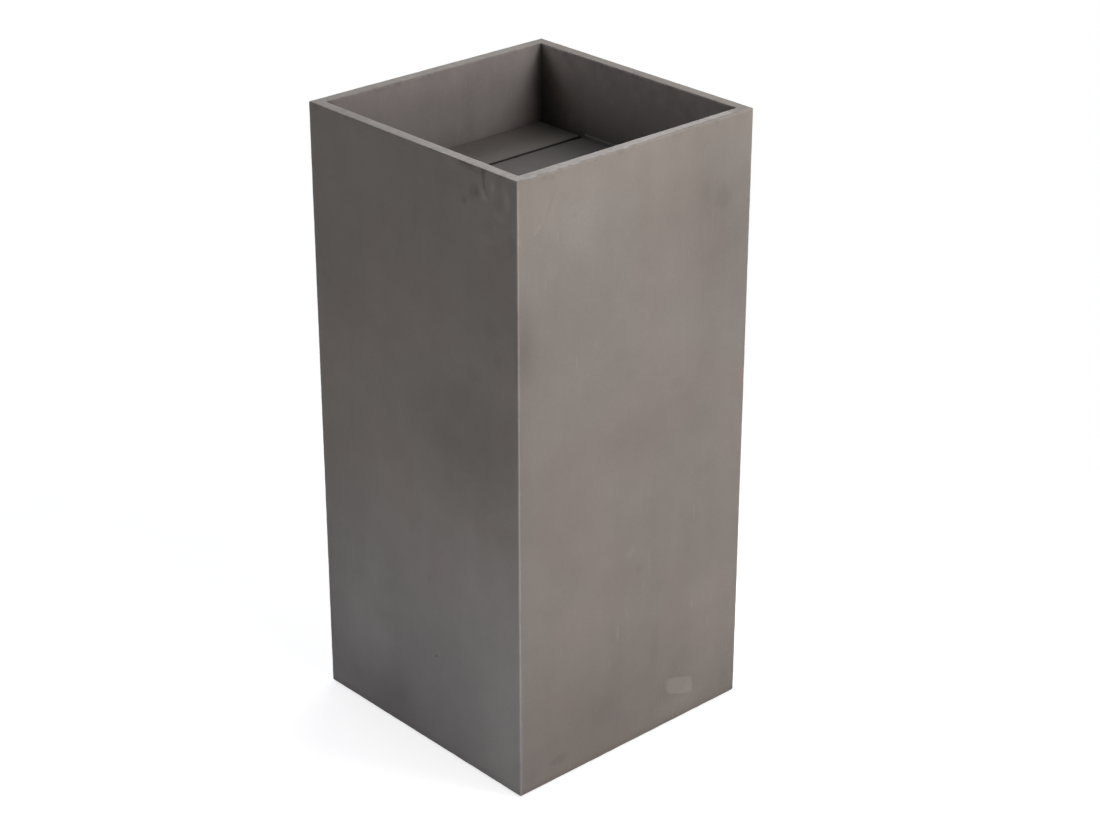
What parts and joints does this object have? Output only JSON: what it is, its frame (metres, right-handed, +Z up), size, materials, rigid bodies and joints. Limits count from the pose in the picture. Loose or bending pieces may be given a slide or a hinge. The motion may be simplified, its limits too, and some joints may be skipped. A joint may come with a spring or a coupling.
{
  "type": "concrete pedestal planter",
  "caption": "Tall square concrete planter with a shallow tray in its top, whose floor is a fixed slab and a loose plank that lifts out over the hollow column.",
  "frame": {"origin": "on the ground under the centre of the column, at the underside of the foot pads", "axes": "+Z up, +X along the front to the right, +Y from the front to the back where the loose plank lies"},
  "size_m": [0.3556, 0.3556, 0.764],
  "materials": {
    "shell_concrete": "matte",
    "slab_concrete": "matte",
    "mortar": "matte",
    "stainless_steel": "satin",
    "brass": "satin",
    "pipe_plastic": "matte",
    "rubber": "matte"
  },
  "bodies": {
    "planter": {"shell": "shell_concrete", "front_slab": "slab_concrete", "cove_bead": "mortar", "slab_bedding": "mortar", "plank_pads": "rubber", "left_ledge": "stainless_steel", "right_ledge": "stainless_steel", "ledge_screws": "stainless_steel", "wall_sockets": "brass", "drain_sleeve": "pipe_plastic", "foot_front_left": "rubber", "foot_front_right": "rubber", "foot_back_left": "rubber", "foot_back_right": "rubber"},
    "plank": {"back_plank": "slab_concrete"},
    "plug": {"drain_plug": "rubber"}
  },
  "joints": [
    {"name": "plank_lift", "type": "slide", "parent": "planter", "child": "plank", "axis": [0, 0, 1], "range_m": [0, 0.15]},
    {"name": "plug_pull", "type": "slide", "parent": "planter", "child": "plug", "axis": [0, 0, 1], "range_m": [0, 0.06]}
  ]
}
